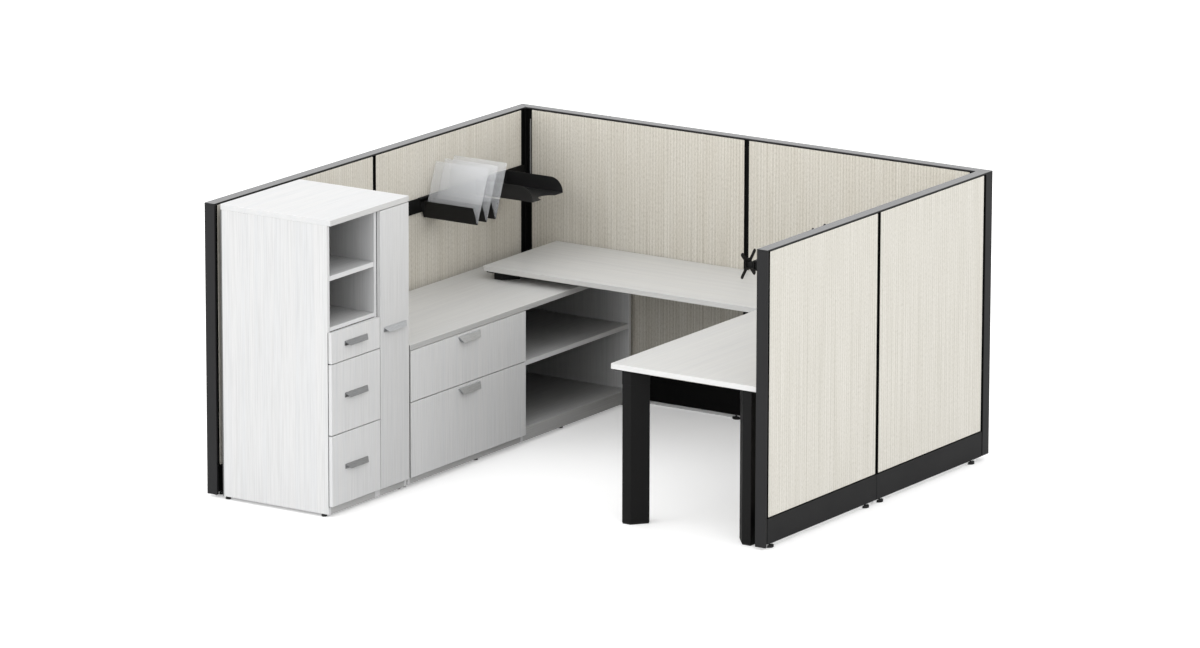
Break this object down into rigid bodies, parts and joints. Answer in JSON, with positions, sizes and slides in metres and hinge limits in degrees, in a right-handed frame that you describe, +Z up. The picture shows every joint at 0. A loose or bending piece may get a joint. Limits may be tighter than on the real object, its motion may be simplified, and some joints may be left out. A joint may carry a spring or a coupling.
{
  "type": "cubicle workstation",
  "caption": "Cubicle workstation: fabric panel walls round a storage tower, a credenza, an L-shaped worksurface, a wall rail with sorter and tray, and a dual monitor arm.",
  "frame": {"origin": "on the floor, at the middle of the footprint", "axes": "+X to the right along the back wall, +Y toward the back wall, +Z up"},
  "size_m": [2.5644, 2.5194, 1.352],
  "materials": {
    "charcoal": "satin powder coat",
    "cap_grey": "satin powder coat",
    "fabric": "woven, fine vertical stripe",
    "laminate": "pale grained laminate",
    "worktop": "pale grained laminate",
    "nickel": "satin nickel",
    "zinc": "zinc plated",
    "black_metal": "fine texture powder coat",
    "black_plastic": "moulded",
    "frosted": "frosted translucent sheet",
    "birch": "drawer board"
  },
  "bodies": {
    "workstation": {"accessory_rail": "black_metal", "back_wall_frames": "charcoal", "back_wall_tiles": "fabric", "bridge_worksurface": "worktop", "cabinet_glides": "black_plastic", "corner_posts": "charcoal", "credenza_back": "laminate", "credenza_base": "laminate", "credenza_shelf": "laminate", "credenza_top": "worktop", "credenza_upright_panels": "laminate", "door_hinge_plates": "zinc", "drawer_runners": "zinc", "end_trims": "charcoal", "fixing_brackets": "black_metal", "left_wing_frames": "charcoal", "left_wing_tiles": "fabric", "monitor_arm_post": "black_metal", "panel_glides": "black_plastic", "panel_raceway_covers": "charcoal", "panel_top_caps": "cap_grey", "return_worksurface": "worktop", "right_wing_frames": "charcoal", "right_wing_tiles": "fabric", "tower_back": "laminate", "tower_base": "laminate", "tower_coat_rod": "zinc", "tower_shelves": "laminate", "tower_top": "laminate", "tower_upright_panels": "laminate", "worksurface_legs": "black_metal"},
    "tower_upper_drawer": {"tower_upper_drawer_front": "laminate", "tower_upper_drawer_box": "birch", "tower_upper_drawer_pull": "nickel"},
    "tower_middle_drawer": {"tower_middle_drawer_front": "laminate", "tower_middle_drawer_box": "birch", "tower_middle_drawer_pull": "nickel"},
    "tower_lower_drawer": {"tower_lower_drawer_front": "laminate", "tower_lower_drawer_box": "birch", "tower_lower_drawer_pull": "nickel"},
    "lateral_upper_drawer": {"lateral_upper_drawer_front": "laminate", "lateral_upper_drawer_box": "birch", "lateral_upper_drawer_pull": "nickel"},
    "lateral_lower_drawer": {"lateral_lower_drawer_front": "laminate", "lateral_lower_drawer_box": "birch", "lateral_lower_drawer_pull": "nickel"},
    "wardrobe_door": {"tower_door": "laminate", "tower_door_pull": "nickel", "door_hinge_cups": "zinc"},
    "sorter": {"file_sorter": "black_metal", "sorter_dividers": "frosted"},
    "tray": {"paper_tray": "black_metal"},
    "left_inner_link": {"left_arm_inner_link": "black_metal"},
    "left_outer_link": {"left_arm_outer_link": "black_metal"},
    "left_knuckle": {"left_arm_knuckle": "black_metal"},
    "left_head": {"left_arm_head": "black_metal"},
    "right_inner_link": {"right_arm_inner_link": "black_metal"},
    "right_outer_link": {"right_arm_outer_link": "black_metal"},
    "right_knuckle": {"right_arm_knuckle": "black_metal"},
    "right_head": {"right_arm_head": "black_metal"}
  },
  "joints": [
    {"name": "tower_upper_drawer_slide", "type": "slide", "parent": "workstation", "child": "tower_upper_drawer", "axis": [1, 0, 0], "range_m": [0, 0.45]},
    {"name": "tower_middle_drawer_slide", "type": "slide", "parent": "workstation", "child": "tower_middle_drawer", "axis": [1, 0, 0], "range_m": [0, 0.45]},
    {"name": "tower_lower_drawer_slide", "type": "slide", "parent": "workstation", "child": "tower_lower_drawer", "axis": [1, 0, 0], "range_m": [0, 0.45]},
    {"name": "lateral_upper_drawer_slide", "type": "slide", "parent": "workstation", "child": "lateral_upper_drawer", "axis": [1, 0, 0], "range_m": [0, 0.45]},
    {"name": "lateral_lower_drawer_slide", "type": "slide", "parent": "workstation", "child": "lateral_lower_drawer", "axis": [1, 0, 0], "range_m": [0, 0.45]},
    {"name": "wardrobe_door_hinge", "type": "hinge", "parent": "workstation", "child": "wardrobe_door", "pos_m": [-0.5934, -0.6627, 0.687], "axis": [0, 0, 1], "range_deg": [0, 90]},
    {"name": "sorter_slide", "type": "slide", "parent": "workstation", "child": "sorter", "axis": [0, 1, 0], "range_m": [-0.32, 0.1]},
    {"name": "tray_slide", "type": "slide", "parent": "workstation", "child": "tray", "axis": [0, 1, 0], "range_m": [-0.12, 0.14]},
    {"name": "left_shoulder_swivel", "type": "hinge", "parent": "workstation", "child": "left_inner_link", "pos_m": [1.1428, 0.2257, 1.112], "axis": [0, 0, 1], "range_deg": [-40, 15]},
    {"name": "left_elbow_swivel", "type": "hinge", "parent": "left_inner_link", "child": "left_outer_link", "pos_m": [1.09671, 0.00547, 1.112], "axis": [0, 0, 1], "range_deg": [-60, 45]},
    {"name": "left_wrist_swivel", "type": "hinge", "parent": "left_outer_link", "child": "left_knuckle", "pos_m": [0.8838, -0.0673, 1.112], "axis": [0, 0, 1], "range_deg": [-60, 60]},
    {"name": "left_head_tilt", "type": "hinge", "parent": "left_knuckle", "child": "left_head", "pos_m": [0.8405, -0.0673, 1.112], "axis": [0, 1, 0], "range_deg": [-20, 45]},
    {"name": "right_shoulder_swivel", "type": "hinge", "parent": "workstation", "child": "right_inner_link", "pos_m": [1.1428, 0.2257, 1.112], "axis": [0, 0, 1], "range_deg": [-15, 40]},
    {"name": "right_elbow_swivel", "type": "hinge", "parent": "right_inner_link", "child": "right_outer_link", "pos_m": [1.09671, 0.44593, 1.112], "axis": [0, 0, 1], "range_deg": [-45, 60]},
    {"name": "right_wrist_swivel", "type": "hinge", "parent": "right_outer_link", "child": "right_knuckle", "pos_m": [0.8838, 0.5187, 1.112], "axis": [0, 0, 1], "range_deg": [-60, 60]},
    {"name": "right_head_tilt", "type": "hinge", "parent": "right_knuckle", "child": "right_head", "pos_m": [0.8405, 0.5187, 1.112], "axis": [0, 1, 0], "range_deg": [-20, 45]}
  ]
}
